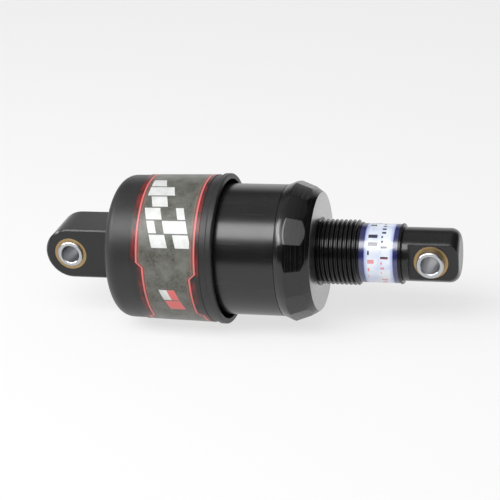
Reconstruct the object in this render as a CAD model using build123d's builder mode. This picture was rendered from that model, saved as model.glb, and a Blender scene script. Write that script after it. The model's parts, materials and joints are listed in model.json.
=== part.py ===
from build123d import *
from math import cos, pi, radians, sin, tan
import os

# Coil-over rear shock absorber with two telescoping dust covers.
# X runs along the damper, from the shaft eye (negative) to the body eye at the origin.
# Y runs along both eye bores, Z is up. All sizes are in millimetres.

# ---------------- driving dimensions
eye_to_eye = 165.0
stroke = 25.0
bottoming_gap = 0.4          # left between the bump stop and the wiper's lip at full stroke

eye_bore_radius = 7.5
pivot_radius = 6.0           # outside of the pivot sleeve
pivot_bore_radius = 4.05     # takes an M8 bolt
pivot_length = 24.0
running_clearance = 0.03     # radial, turning and sliding fits
thread_clearance = 0.05      # radial, between a thread's crest and its nut

body_bar_radius = 11.9       # round bar that the body eyelet is turned from
body_bar_reach = 12.0        # eye axis to the bar's free end
body_end_round = 4.5
body_eye_width = 17.0        # over the two flats beside the bore
body_neck_length = 12.6      # eye axis to the end of the damper tube
body_flat_start = 3.0        # round neck left between the tube and the flats
shaft_eye_radius = 12.0
shaft_eye_width = 22.0
shaft_neck_length = 22.5     # eye axis to the closed end of the outer cover
edge_break = 0.8
sleeve_chamfer = 0.4

thread_radius = 14.5         # crest of the preload thread
thread_chamfer = 1.0
plain_radius = 12.9          # unthreaded stretch that carries the tube label
plain_length = 17.4
rim_radius = 13.4
rim_length = 1.2
rim_round = 0.4
tube_bore_radius = 10.5
cap_plug_length = 12.0

rod_radius = 5.0
rod_thread_depth = 13.0
stud_radius = 3.0
spigot_radius = 8.0
spigot_length = 8.5
lock_nut_flats = 17.0
lock_nut_height = 5.0
lock_nut_cone = 0.8
bump_stop_radius = 9.0
bump_stop_length = 7.8

seal_flange_radius = 13.6
seal_flange_length = 3.0
seal_head_length = 14.0
wiper_depth = 4.0
seal_radius = 8.0
seal_thickness = 3.0
groove_depth = 1.4
groove_width = 2.2
ring_end_play = 0.1          # each side of an O-ring in its groove
wiper_lip = 0.8

piston_length = 12.0
piston_clearance = 0.25
piston_groove_depth = 1.4
piston_band_width = 6.0
piston_band_wrap = 355.0
port_count = 6
port_circle_radius = 5.6
port_radius = 1.2
shim_lap = 0.9               # beyond the ports' outer edge
shim_parting = 0.02
top_out_gap = 0.4
shim_thickness = 0.3
shim_step = 1.0
shim_count = 3
backing_washer_radius = 5.5
backing_washer_thickness = 1.5
piston_nut_flats = 10.0
piston_nut_height = 4.5

wire_diameter = 7.0
spring_clearance = 1.9       # radial, coils to the inner cover's bore
active_coils = 3.5
closed_coils = 1.0           # at each end
closed_gap = 0.15            # between touching coils
points_per_turn = 12
spring_seat_clearance = 0.5

retainer_lap = 1.0           # beyond the coils
retainer_thickness = 3.0
pilot_height = 4.0
pilot_wall = 2.5

outer_cover_radius = 32.4    # at the closed end
outer_cover_draft = 0.9      # growth in radius from the closed end to the mouth
outer_cover_length = 50.9
outer_cover_wall = 1.7
outer_cover_floor = 2.5
outer_cover_corner = 6.5
corner_clearance = 0.3       # round the retainer, in the cover's inside corner
lip_height = 0.7
lip_length = 3.2
label_thickness = 0.2
glue_thickness = 0.02
label_start = 13.5           # closed end to the label's edge
label_width = 31.5
label_wrap = 344.0

cover_clearance = 0.3        # radial, guide bead to the outer cover's bore at its closed end
inner_cover_wall = 1.6
inner_cover_overlap = 14.0   # hidden in the outer cover at rest
inner_cover_floor = 2.0
guide_bead_height = 0.9
guide_bead_length = 3.0

nut_sides = 16
nut_grip = 2.0               # corner radius at the crown, beyond the inner cover
nut_length = 15.3
nut_front_chamfer = 5.2      # along the axis, to the crown
nut_front_slope = 2.1        # radial rise of the front chamfer at the corners
nut_taper = 20.5             # of the facets behind the crown, in degrees
nut_rear_slope = 5.0         # crown to the round rear face, radially
nut_rear_angle = 35.0        # of the turned rear chamfer that ends the facets
nut_turn = 16.1              # of the first corner, in degrees from the far side
thrust_washer_thickness = 1.5
nut_stand_off = 18.7         # preload nut's rear face to the end of the thread

tube_label_thickness = 0.15
tube_label_wrap = 350.0
label_margin = 0.2           # bare tube on each side of the tube label

# ---------------- stations along X
shaft_eye_x = -eye_to_eye
cover_face_x = shaft_eye_x + shaft_neck_length
retainer_x = cover_face_x + outer_cover_floor
spring_start_x = retainer_x + retainer_thickness
spigot_end_x = cover_face_x + spigot_length
lock_nut_end_x = spigot_end_x + lock_nut_height
bump_stop_end_x = lock_nut_end_x + bump_stop_length
seal_face_x = bump_stop_end_x + stroke + bottoming_gap + wiper_lip
tube_start_x = seal_face_x + seal_flange_length
seal_head_end_x = tube_start_x + seal_head_length
tube_end_x = -body_neck_length
rim_start_x = tube_end_x - rim_length
thread_end_x = rim_start_x - plain_length
nut_face_x = thread_end_x - nut_stand_off
nut_start_x = nut_face_x - nut_length
nut_crown_x = nut_start_x + nut_front_chamfer
washer_x = nut_start_x - inner_cover_floor
spring_end_x = washer_x - thrust_washer_thickness
hub_start_x = spring_end_x - pilot_height
cover_mouth_x = cover_face_x + outer_cover_length
inner_cover_start_x = cover_mouth_x - inner_cover_overlap
piston_stack_x = seal_head_end_x + top_out_gap
piston_x = piston_stack_x + backing_washer_thickness + shim_count * shim_thickness
piston_end_x = piston_x + piston_length
piston_nut_x = piston_end_x + shim_count * shim_thickness
stud_end_x = piston_nut_x + piston_nut_height + 1.0


# ---------------- fits, from the outer cover inwards
inner_cover_radius = outer_cover_radius - outer_cover_wall - cover_clearance - guide_bead_height
nut_corner_radius = inner_cover_radius + nut_grip
nut_front_radius = nut_corner_radius - nut_front_slope
nut_front_growth = nut_front_chamfer * tan(radians(nut_taper)) / cos(pi / nut_sides)
nut_face_radius = nut_corner_radius - nut_rear_slope
spring_radius = inner_cover_radius - inner_cover_wall - spring_clearance
retainer_radius = spring_radius + retainer_lap
seat_radius = spring_radius - wire_diameter - spring_seat_clearance
hub_hole_radius = seat_radius + thread_clearance
groove_radius = tube_bore_radius - groove_depth
plug_groove_x = tube_end_x - cap_plug_length + 3.0
head_groove_x = seal_head_end_x - 4.5
rod_seal_x = seal_face_x + wiper_depth + 2.5
piston_radius = tube_bore_radius - piston_clearance
lock_nut_corner = lock_nut_flats / 2 / cos(pi / 6)
lip_radius = outer_cover_radius + outer_cover_draft + lip_height
coil_radius = spring_radius - wire_diameter / 2
closed_pitch = wire_diameter + closed_gap
ground_depth = wire_diameter / 4
total_coils = active_coils + 2 * closed_coils
coil_steps = round(total_coils * points_per_turn)
coil_height = spring_end_x - spring_start_x + 2 * ground_depth
active_pitch = (coil_height - 2 * closed_coils * closed_pitch) / active_coils
seal_bore_radius = rod_radius + running_clearance
os.makedirs("parts", exist_ok=True)


def section(start, end, inner, outer):
    """A rectangle of the turning section, between two stations and two radii."""
    with Locations(((start + end) / 2, (inner + outer) / 2)):
        Rectangle(end - start, outer - inner)


def annulus(inner, outer):
    """A ring in the plane of the sketch."""
    Circle(outer)
    Circle(inner, mode=Mode.SUBTRACT)


def across_eye(eye_x, width):
    """Sketch plane on the far side of an eye, facing the near side."""
    return Plane(origin=(eye_x, width / 2, 0), x_dir=(1, 0, 0), z_dir=(0, -1, 0))


def squeezed_ring(start):
    """The section of an O-ring, pressed to the height of its groove."""
    with Locations((start + groove_width / 2, groove_radius + groove_depth / 2)):
        RectangleRounded(groove_width - 2 * ring_end_play, groove_depth, 0.4 * groove_depth)


def cover_radius_at(x):
    """Outside of the drafted outer cover."""
    return outer_cover_radius + outer_cover_draft * (x - cover_face_x) / outer_cover_length


def save(piece, name):
    piece.part.label = name
    export_step(piece.part, f"parts/{name}.step")

# ---------------- body eyelet
with BuildPart() as body_eyelet:
    # bar turned about the damper's axis, with a rounded free end and a plug for the tube
    with BuildSketch(Plane.XY) as bar_section:
        section(tube_end_x - cap_plug_length, tube_end_x, 0, tube_bore_radius)
        section(tube_end_x, body_bar_reach, 0, body_bar_radius)
        free_corner = bar_section.vertices().sort_by_distance((body_bar_reach, body_bar_radius))[0]
        fillet(free_corner, body_end_round)
        with Locations((plug_groove_x + groove_width / 2, groove_radius + groove_depth)):
            Rectangle(groove_width, 2 * groove_depth, mode=Mode.SUBTRACT)
    revolve(axis=Axis.X)
    chamfer(body_eyelet.edges().group_by(Axis.X)[0], edge_break / 2)
    # two flats milled beside the bore, open towards the free end
    flat_start_x = tube_end_x + body_flat_start
    with BuildSketch(Plane.XY.offset(-body_bar_radius)):
        for side in (-1, 1):
            with Locations(((flat_start_x + body_bar_reach) / 2, side * (body_eye_width / 2 + body_bar_radius))):
                Rectangle(body_bar_reach - flat_start_x, 2 * body_bar_radius)
    extrude(amount=2 * body_bar_radius, mode=Mode.SUBTRACT)
    with BuildSketch(across_eye(0, 2 * body_eye_width)):
        Circle(eye_bore_radius)
    extrude(amount=2 * body_eye_width, mode=Mode.SUBTRACT)
save(body_eyelet, "body_eyelet")

with BuildPart() as body_eyelet_o_ring:
    with BuildSketch(Plane.XY):
        squeezed_ring(plug_groove_x)
    revolve(axis=Axis.X)
save(body_eyelet_o_ring, "body_eyelet_o_ring")


# ---------------- eye bushings and pivot sleeves
# plain bearings pressed into the eyes
with BuildPart() as body_eye_bushing:
    with BuildSketch(across_eye(0, body_eye_width)):
        annulus(pivot_radius + running_clearance, eye_bore_radius)
    extrude(amount=body_eye_width)
save(body_eye_bushing, "body_eye_bushing")

with BuildPart() as shaft_eye_bushing:
    with BuildSketch(across_eye(shaft_eye_x, shaft_eye_width)):
        annulus(pivot_radius + running_clearance, eye_bore_radius)
    extrude(amount=shaft_eye_width)
save(shaft_eye_bushing, "shaft_eye_bushing")

# steel tubes that the frame's bolts clamp between their ears
with BuildPart() as body_eye_sleeve:
    with BuildSketch(across_eye(0, pivot_length)):
        annulus(pivot_bore_radius, pivot_radius)
    extrude(amount=pivot_length)
    chamfer(body_eye_sleeve.edges().filter_by(GeomType.CIRCLE), sleeve_chamfer)
save(body_eye_sleeve, "body_eye_sleeve")

with BuildPart() as shaft_eye_sleeve:
    with BuildSketch(across_eye(shaft_eye_x, pivot_length)):
        annulus(pivot_bore_radius, pivot_radius)
    extrude(amount=pivot_length)
    chamfer(shaft_eye_sleeve.edges().filter_by(GeomType.CIRCLE), sleeve_chamfer)
save(shaft_eye_sleeve, "shaft_eye_sleeve")

# ---------------- damper tube and its label
with BuildPart() as damper_tube:
    with BuildSketch(Plane.XY):
        section(tube_start_x, thread_end_x, tube_bore_radius, thread_radius)
        section(thread_end_x, rim_start_x, tube_bore_radius, plain_radius)
        section(rim_start_x, tube_end_x, tube_bore_radius, rim_radius)
    revolve(axis=Axis.X)
    thread_ends = damper_tube.edges().filter_by(
        lambda edge: edge.geom_type == GeomType.CIRCLE and abs(edge.radius - thread_radius) < 0.01
    )
    chamfer(thread_ends, thread_chamfer)
    rim_edges = damper_tube.edges().filter_by(
        lambda edge: edge.geom_type == GeomType.CIRCLE and abs(edge.radius - rim_radius) < 0.01
    )
    fillet(rim_edges, rim_round)
save(damper_tube, "damper_tube")

with BuildPart() as tube_label:
    with BuildSketch(Plane.XY):
        section(thread_end_x + label_margin, rim_start_x - label_margin,
                plain_radius, plain_radius + tube_label_thickness)
    revolve(axis=Axis.X, revolution_arc=tube_label_wrap)
save(tube_label, "tube_label")

# ---------------- seal head, where the rod leaves the tube
with BuildPart() as seal_head:
    with BuildSketch(Plane.XY):
        section(seal_face_x, tube_start_x, seal_bore_radius, seal_flange_radius)
        section(tube_start_x, seal_head_end_x, seal_bore_radius, tube_bore_radius)
        # seats of the wiper, the rod seal and the outer O-ring
        with Locations((seal_face_x + wiper_depth / 2, (seal_bore_radius + seal_radius) / 2)):
            Rectangle(wiper_depth, seal_radius - seal_bore_radius, mode=Mode.SUBTRACT)
        with Locations((rod_seal_x + seal_thickness / 2, (seal_bore_radius + seal_radius) / 2)):
            Rectangle(seal_thickness, seal_radius - seal_bore_radius, mode=Mode.SUBTRACT)
        with Locations((head_groove_x + groove_width / 2, groove_radius + groove_depth)):
            Rectangle(groove_width, 2 * groove_depth, mode=Mode.SUBTRACT)
    revolve(axis=Axis.X)
    chamfer(seal_head.edges().group_by(Axis.X)[0].sort_by(SortBy.LENGTH)[-1], edge_break / 2)
save(seal_head, "seal_head")

with BuildPart() as rod_wiper:
    # thin lip in front, thick heel in the seal head's seat
    with BuildSketch(Plane.XY):
        with BuildLine():
            Polyline(
                (seal_face_x + wiper_depth, seal_bore_radius),
                (seal_face_x + wiper_depth, seal_radius),
                (seal_face_x, seal_radius),
                (seal_face_x, seal_radius - wiper_lip),
                (seal_face_x - wiper_lip, seal_bore_radius + wiper_lip),
                (seal_face_x - wiper_lip, seal_bore_radius),
                close=True,
            )
        make_face()
    revolve(axis=Axis.X)
save(rod_wiper, "rod_wiper")

with BuildPart() as rod_seal:
    with BuildSketch(Plane.XY):
        section(rod_seal_x, rod_seal_x + seal_thickness, seal_bore_radius, seal_radius)
    revolve(axis=Axis.X)
save(rod_seal, "rod_seal")

with BuildPart() as seal_head_o_ring:
    with BuildSketch(Plane.XY):
        squeezed_ring(head_groove_x)
    revolve(axis=Axis.X)
save(seal_head_o_ring, "seal_head_o_ring")

# ---------------- rod, piston and valve
with BuildPart() as piston_rod:
    with BuildSketch(Plane.XY):
        section(spigot_end_x - rod_thread_depth, piston_stack_x, 0, rod_radius)
        section(piston_stack_x, stud_end_x, 0, stud_radius)
    revolve(axis=Axis.X)
    chamfer(piston_rod.edges().group_by(Axis.X)[-1], stud_radius / 5)
save(piston_rod, "piston_rod")

with BuildPart() as backing_washer:
    with BuildSketch(Plane.YZ.offset(piston_stack_x)):
        Circle(backing_washer_radius)
        Circle(stud_radius, mode=Mode.SUBTRACT)
    extrude(amount=backing_washer_thickness)
save(backing_washer, "backing_washer")

with BuildPart() as piston:
    with BuildSketch(Plane.XY):
        section(piston_x, piston_end_x, stud_radius, piston_radius)
        with Locations(((piston_x + piston_end_x) / 2, piston_radius)):
            Rectangle(piston_band_width, 2 * piston_groove_depth, mode=Mode.SUBTRACT)
    revolve(axis=Axis.X)
    # oil ports, straight through under both stacks of shims
    with BuildSketch(Plane.YZ.offset(piston_x)):
        with PolarLocations(port_circle_radius, port_count):
            Circle(port_radius)
    extrude(amount=piston_length, mode=Mode.SUBTRACT)
save(piston, "piston")

with BuildPart() as piston_band:
    with BuildSketch(Plane.XY):
        section((piston_x + piston_end_x - piston_band_width) / 2,
                (piston_x + piston_end_x + piston_band_width) / 2,
                piston_radius - piston_groove_depth, tube_bore_radius - running_clearance)
    revolve(axis=Axis.X, revolution_arc=piston_band_wrap)
save(piston_band, "piston_band")

# two stacks of thin discs, the widest against the piston
shim_radii = [port_circle_radius + port_radius + shim_lap - shim_step * step for step in range(shim_count)]
with BuildPart() as valve_shims:
    for step, shim_radius in enumerate(shim_radii):
        with BuildSketch(
            Plane.YZ.offset(piston_x - (step + 1) * shim_thickness),
            Plane.YZ.offset(piston_end_x + step * shim_thickness),
        ):
            Circle(shim_radius)
            Circle(stud_radius, mode=Mode.SUBTRACT)
        extrude(amount=shim_thickness - shim_parting)
save(valve_shims, "valve_shims")

with BuildPart() as piston_nut:
    with BuildSketch(Plane.YZ.offset(piston_nut_x)):
        RegularPolygon(piston_nut_flats / 2, 6, major_radius=False)
        Circle(stud_radius, mode=Mode.SUBTRACT)
    extrude(amount=piston_nut_height)
save(piston_nut, "piston_nut")

# ---------------- shaft eyelet, its lock nut and the bump stop
with BuildPart() as shaft_eyelet:
    # forged block as high as the round eye that ends it
    with BuildSketch(across_eye(shaft_eye_x, shaft_eye_width)):
        Circle(shaft_eye_radius)
        with Locations((shaft_neck_length / 2, 0)):
            Rectangle(shaft_neck_length, 2 * shaft_eye_radius)
    extrude(amount=shaft_eye_width)
    side_edges = shaft_eyelet.faces().filter_by(Axis.Y).edges()
    free_edges = side_edges.filter_by_position(Axis.X, shaft_eye_x - eye_to_eye, cover_face_x - edge_break)
    chamfer(free_edges, edge_break)
    # spigot that carries the cover and the spring retainer, drilled for the rod
    with BuildSketch(Plane.YZ.offset(cover_face_x)):
        Circle(spigot_radius)
    extrude(amount=spigot_length)
    chamfer(shaft_eyelet.edges().group_by(Axis.X)[-1], edge_break / 2)
    with BuildSketch(Plane.YZ.offset(spigot_end_x)):
        Circle(rod_radius)
    extrude(amount=-rod_thread_depth, mode=Mode.SUBTRACT)
    with BuildSketch(across_eye(shaft_eye_x, 2 * shaft_eye_width)):
        Circle(eye_bore_radius)
    extrude(amount=2 * shaft_eye_width, mode=Mode.SUBTRACT)
save(shaft_eyelet, "shaft_eyelet")

with BuildPart() as rod_lock_nut:
    with BuildSketch(Plane.YZ.offset(spigot_end_x)):
        RegularPolygon(lock_nut_flats / 2, 6, major_radius=False)
    extrude(amount=lock_nut_height)
    # both faces turned down to a 30 degree cone across the corners
    with BuildSketch(Plane.XY):
        with BuildLine():
            Polyline(
                (spigot_end_x, 0),
                (spigot_end_x, lock_nut_flats / 2),
                (spigot_end_x + lock_nut_cone, lock_nut_corner),
                (lock_nut_end_x - lock_nut_cone, lock_nut_corner),
                (lock_nut_end_x, lock_nut_flats / 2),
                (lock_nut_end_x, 0),
                close=True,
            )
        make_face()
    revolve(axis=Axis.X, mode=Mode.INTERSECT)
    with BuildSketch(Plane.YZ.offset(spigot_end_x)):
        Circle(rod_radius)
    extrude(amount=lock_nut_height, mode=Mode.SUBTRACT)
save(rod_lock_nut, "rod_lock_nut")

with BuildPart() as bump_stop:
    # rubber cone with one relief groove round its waist
    with BuildSketch(Plane.XY):
        with BuildLine():
            Polyline(
                (lock_nut_end_x, rod_radius),
                (lock_nut_end_x, bump_stop_radius),
                (lock_nut_end_x + 0.35 * bump_stop_length, bump_stop_radius),
                (lock_nut_end_x + 0.5 * bump_stop_length, 0.8 * bump_stop_radius),
                (lock_nut_end_x + 0.65 * bump_stop_length, 0.95 * bump_stop_radius),
                (bump_stop_end_x, 0.7 * bump_stop_radius),
                (bump_stop_end_x, rod_radius),
                close=True,
            )
        make_face()
    revolve(axis=Axis.X)
save(bump_stop, "bump_stop")

# ---------------- spring retainer
with BuildPart() as spring_retainer:
    with BuildSketch(Plane.XY):
        section(retainer_x, spring_start_x, spigot_radius, retainer_radius)
        section(spring_start_x, spring_start_x + pilot_height, seat_radius - pilot_wall, seat_radius)
    revolve(axis=Axis.X)
    chamfer(spring_retainer.edges().group_by(Axis.X)[-1], pilot_wall / 4)
save(spring_retainer, "spring_retainer")


# ---------------- coil spring, closed and ground at both ends
def coil_rise(turn):
    """Height of the wire's centre above its start: closed, open, then closed again."""
    opened = min(max(turn - closed_coils, 0), active_coils)
    return closed_pitch * (turn - opened) + active_pitch * opened


def coil_point(turn):
    angle = 2 * pi * turn
    x = spring_start_x - ground_depth + coil_rise(turn)
    return (x, -coil_radius * cos(angle), -coil_radius * sin(angle))


with BuildPart() as coil_spring:
    with BuildLine():
        coil = Spline(*[coil_point(step / points_per_turn) for step in range(coil_steps + 1)])
    with BuildSketch(Plane(origin=coil @ 0, z_dir=coil % 0)):
        Circle(wire_diameter / 2)
    sweep(is_frenet=True)
    split(bisect_by=Plane.YZ.offset(spring_start_x), keep=Keep.TOP)
    split(bisect_by=Plane.YZ.offset(spring_end_x), keep=Keep.BOTTOM)
save(coil_spring, "coil_spring")

# ---------------- outer cover, a drafted cup with a lipped mouth
cover_inside_radius = cover_radius_at(retainer_x) - outer_cover_wall
inside_corner = cover_inside_radius - retainer_radius - corner_clearance
with BuildPart() as outer_cover:
    with BuildSketch(Plane.XY) as cover_section:
        with BuildLine():
            Polyline(
                (cover_face_x, spigot_radius),
                (cover_face_x, outer_cover_radius),
                (cover_mouth_x - lip_length, cover_radius_at(cover_mouth_x - lip_length)),
                (cover_mouth_x - lip_length + lip_height, lip_radius),
                (cover_mouth_x, lip_radius),
                (cover_mouth_x, cover_radius_at(cover_mouth_x) - outer_cover_wall),
                (retainer_x, cover_inside_radius),
                (retainer_x, spigot_radius),
                close=True,
            )
        make_face()
        for corner, corner_radius in (
            ((cover_face_x, outer_cover_radius), outer_cover_corner),
            ((retainer_x, cover_inside_radius), inside_corner),
            ((cover_mouth_x, lip_radius), lip_height),
        ):
            fillet(cover_section.vertices().sort_by_distance(corner)[0], corner_radius)
    revolve(axis=Axis.X)
save(outer_cover, "outer_cover")

label_start_x = cover_face_x + label_start
label_end_x = label_start_x + label_width
with BuildPart() as outer_cover_label:
    with BuildSketch(Plane.XY):
        with BuildLine():
            Polyline(
                (label_start_x, cover_radius_at(label_start_x) + glue_thickness),
                (label_start_x, cover_radius_at(label_start_x) + glue_thickness + label_thickness),
                (label_end_x, cover_radius_at(label_end_x) + glue_thickness + label_thickness),
                (label_end_x, cover_radius_at(label_end_x) + glue_thickness),
                close=True,
            )
        make_face()
    revolve(axis=Axis.X, revolution_arc=label_wrap)
save(outer_cover_label, "outer_cover_label")

# ---------------- inner cover, clamped between spring and nut
with BuildPart() as inner_cover:
    inner_cover_bore = inner_cover_radius - inner_cover_wall
    bead_radius = inner_cover_radius + guide_bead_height
    with BuildSketch(Plane.XY):
        with BuildLine():
            Polyline(
                (inner_cover_start_x, inner_cover_bore),
                (inner_cover_start_x, bead_radius),
                (inner_cover_start_x + guide_bead_length, bead_radius),
                (inner_cover_start_x + guide_bead_length + guide_bead_height, inner_cover_radius),
                (nut_start_x, inner_cover_radius),
                (nut_start_x, hub_hole_radius),
                (washer_x, hub_hole_radius),
                (washer_x, inner_cover_bore),
                close=True,
            )
        make_face()
    revolve(axis=Axis.X)
save(inner_cover, "inner_cover")

with BuildPart() as thrust_washer:
    with BuildSketch(Plane.XY):
        section(spring_end_x, washer_x, hub_hole_radius, inner_cover_bore - running_clearance)
    revolve(axis=Axis.X)
save(thrust_washer, "thrust_washer")

# ---------------- preload nut, a ring with many facets that taper to the rear
with BuildPart() as preload_nut:
    with BuildSketch(Plane.YZ.offset(nut_start_x)):
        RegularPolygon(nut_corner_radius + nut_front_growth, nut_sides, rotation=nut_turn)
    extrude(amount=nut_length, taper=nut_taper)
    # turned outline: front chamfer up to the crown, steep chamfer down to the rear face
    with BuildSketch(Plane.XY):
        with BuildLine():
            Polyline(
                (nut_start_x, 0),
                (nut_start_x, nut_front_radius),
                (nut_crown_x, nut_corner_radius),
                (nut_face_x - nut_rear_slope / tan(radians(nut_rear_angle)), nut_corner_radius),
                (nut_face_x, nut_face_radius),
                (nut_face_x, 0),
                close=True,
            )
        make_face()
    revolve(axis=Axis.X, mode=Mode.INTERSECT)
    # hub that centres the washer, the inner cover and the spring
    with BuildSketch(Plane.YZ.offset(nut_start_x)):
        Circle(seat_radius)
    extrude(amount=hub_start_x - nut_start_x)
    chamfer(preload_nut.edges().group_by(Axis.X)[0], edge_break)
    with BuildSketch(Plane.YZ.offset(nut_face_x)):
        Circle(thread_radius + thread_clearance)
    extrude(amount=hub_start_x - nut_face_x, mode=Mode.SUBTRACT)
    chamfer(preload_nut.edges().group_by(Axis.X)[-1].sort_by(SortBy.LENGTH)[0], edge_break)
save(preload_nut, "preload_nut")
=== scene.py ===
import bpy
import bmesh
import json
import math
from mathutils import Matrix, Vector


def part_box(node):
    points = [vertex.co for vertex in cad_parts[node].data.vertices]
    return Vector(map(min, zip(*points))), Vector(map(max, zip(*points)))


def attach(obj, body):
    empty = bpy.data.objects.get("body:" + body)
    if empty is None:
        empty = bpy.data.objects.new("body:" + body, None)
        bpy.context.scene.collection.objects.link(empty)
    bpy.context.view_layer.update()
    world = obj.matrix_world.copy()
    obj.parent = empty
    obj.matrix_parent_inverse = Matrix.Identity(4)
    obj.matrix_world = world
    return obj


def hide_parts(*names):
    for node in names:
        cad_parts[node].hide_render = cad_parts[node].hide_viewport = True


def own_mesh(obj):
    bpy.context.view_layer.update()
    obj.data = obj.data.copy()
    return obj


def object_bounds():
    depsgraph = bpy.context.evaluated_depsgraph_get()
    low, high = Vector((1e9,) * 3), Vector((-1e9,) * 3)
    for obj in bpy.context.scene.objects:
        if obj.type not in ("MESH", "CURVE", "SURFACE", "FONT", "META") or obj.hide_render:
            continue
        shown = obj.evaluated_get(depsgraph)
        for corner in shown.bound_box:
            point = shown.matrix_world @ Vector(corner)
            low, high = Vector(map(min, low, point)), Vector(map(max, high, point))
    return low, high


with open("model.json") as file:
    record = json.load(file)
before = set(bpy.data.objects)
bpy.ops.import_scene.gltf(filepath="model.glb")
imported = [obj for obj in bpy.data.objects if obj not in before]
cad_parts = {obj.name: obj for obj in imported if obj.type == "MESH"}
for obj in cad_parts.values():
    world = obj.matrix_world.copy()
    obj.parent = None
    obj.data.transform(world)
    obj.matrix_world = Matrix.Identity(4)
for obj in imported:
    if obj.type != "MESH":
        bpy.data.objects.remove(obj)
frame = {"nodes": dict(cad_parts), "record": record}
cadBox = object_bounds()
mm = 0.001
print("frame loaded with", len(frame["nodes"]), "parts")


# node helpers: a socket is linked, anything else is set as a value

def plug(tree, target, value):
    if isinstance(value, bpy.types.NodeSocket):
        tree.links.new(value, target)
    else:
        target.default_value = value


def addNode(tree, kind, inputs=None, **settings):
    node = tree.nodes.new(kind)
    for name, value in settings.items():
        setattr(node, name, value)
    for name, value in (inputs or {}).items():
        plug(tree, node.inputs[name], value)
    return node


def calc(tree, operation, a, b=0.0, c=0.0):
    return addNode(tree, "ShaderNodeMath", {0: a, 1: b, 2: c}, operation=operation).outputs[0]


def mixColour(tree, factor, a, b):
    settings = {"data_type": "RGBA", "clamp_factor": True}
    return addNode(tree, "ShaderNodeMix", {0: factor, 6: a, 7: b}, **settings).outputs[2]


def mixValue(tree, factor, a, b):
    return addNode(tree, "ShaderNodeMix", {0: factor, 2: a, 3: b}, clamp_factor=True).outputs[0]


# 0 below low, 1 above high, straight between
def fade(tree, value, low, high):
    inputs = {"Value": value, "From Min": low, "From Max": high}
    return addNode(tree, "ShaderNodeMapRange", inputs).outputs[0]


# 1 between low and high, with edges as wide as soft
def band(tree, value, low, high, soft):
    rise = fade(tree, value, low - soft / 2, low + soft / 2)
    fall = fade(tree, value, high + soft / 2, high - soft / 2)
    return calc(tree, "MULTIPLY", rise, fall)


def noise(tree, vector, scale, detail=3.0, roughness=0.55):
    inputs = {"Vector": vector, "Scale": scale, "Detail": detail, "Roughness": roughness}
    return addNode(tree, "ShaderNodeTexNoise", inputs).outputs[0]


def objectPlace(tree, stretch=(1.0, 1.0, 1.0)):
    place = addNode(tree, "ShaderNodeTexCoord").outputs["Object"]
    return addNode(tree, "ShaderNodeMapping", {"Vector": place, "Scale": stretch}).outputs[0]


def newGroup(name, inputs, outputs):
    tree = bpy.data.node_groups.new(name, "ShaderNodeTree")
    for label, value in inputs.items():
        tree.interface.new_socket(label, in_out="INPUT", socket_type="NodeSocketFloat").default_value = value
    for label in outputs:
        tree.interface.new_socket(label, in_out="OUTPUT", socket_type="NodeSocketFloat")
    return tree, tree.nodes.new("NodeGroupInput").outputs, tree.nodes.new("NodeGroupOutput").inputs


def useGroup(tree, group, inputs=None):
    node = tree.nodes.new("ShaderNodeGroup")
    node.node_tree = group
    for label, value in (inputs or {}).items():
        plug(tree, node.inputs[label], value)
    return node.outputs


# shared effects

# place along and round the damper's axis: millimetres along X, radius in millimetres, and the
# angle from the near side (-Y) up towards +Z in degrees
def makeDamperAxis():
    tree, _, result = newGroup("damperAxis", {}, ("Along", "Radius", "Angle"))
    place = addNode(tree, "ShaderNodeTexCoord").outputs["Object"]
    parts = addNode(tree, "ShaderNodeSeparateXYZ", {0: place}).outputs
    plug(tree, result["Along"], calc(tree, "MULTIPLY", parts[0], 1 / mm))
    square = calc(tree, "MULTIPLY", parts[2], parts[2])
    radius = calc(tree, "SQRT", calc(tree, "MULTIPLY_ADD", parts[1], parts[1], square))
    plug(tree, result["Radius"], calc(tree, "MULTIPLY", radius, 1 / mm))
    near = calc(tree, "MULTIPLY", parts[1], -1.0)
    plug(tree, result["Angle"], calc(tree, "DEGREES", calc(tree, "ARCTAN2", parts[2], near)))
    return tree


# the same about the nearer eye's bore, which runs along Y
def makeEyeAxis():
    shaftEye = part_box("shaft_eye_sleeve")
    eyeX = (shaftEye[0].x + shaftEye[1].x) / 2
    tree, _, result = newGroup("eyeAxis", {}, ("Along", "Radius"))
    place = addNode(tree, "ShaderNodeTexCoord").outputs["Object"]
    parts = addNode(tree, "ShaderNodeSeparateXYZ", {0: place}).outputs
    onShaft = calc(tree, "LESS_THAN", parts[0], eyeX / 2)
    centred = calc(tree, "MULTIPLY_ADD", onShaft, -eyeX, parts[0])
    square = calc(tree, "MULTIPLY", parts[2], parts[2])
    radius = calc(tree, "SQRT", calc(tree, "MULTIPLY_ADD", centred, centred, square))
    plug(tree, result["Radius"], calc(tree, "MULTIPLY", radius, 1 / mm))
    plug(tree, result["Along"], calc(tree, "MULTIPLY", parts[1], 1 / mm))
    return tree


# fine rings left by a lathe tool: they run round the axis on flat faces and on round ones
def makeToolRings():
    inputs = {"Along": 0.0, "Radius": 0.0, "Per mm": 4.0}
    tree, given, result = newGroup("toolRings", inputs, ("Height",))
    row = calc(tree, "ADD", given["Along"], given["Radius"])
    line = {"W": calc(tree, "MULTIPLY", row, given["Per mm"]), "Scale": 1.0, "Detail": 2.0}
    rings = addNode(tree, "ShaderNodeTexNoise", line, noise_dimensions="1D")
    plug(tree, result["Height"], rings.outputs[0])
    return tree


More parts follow.
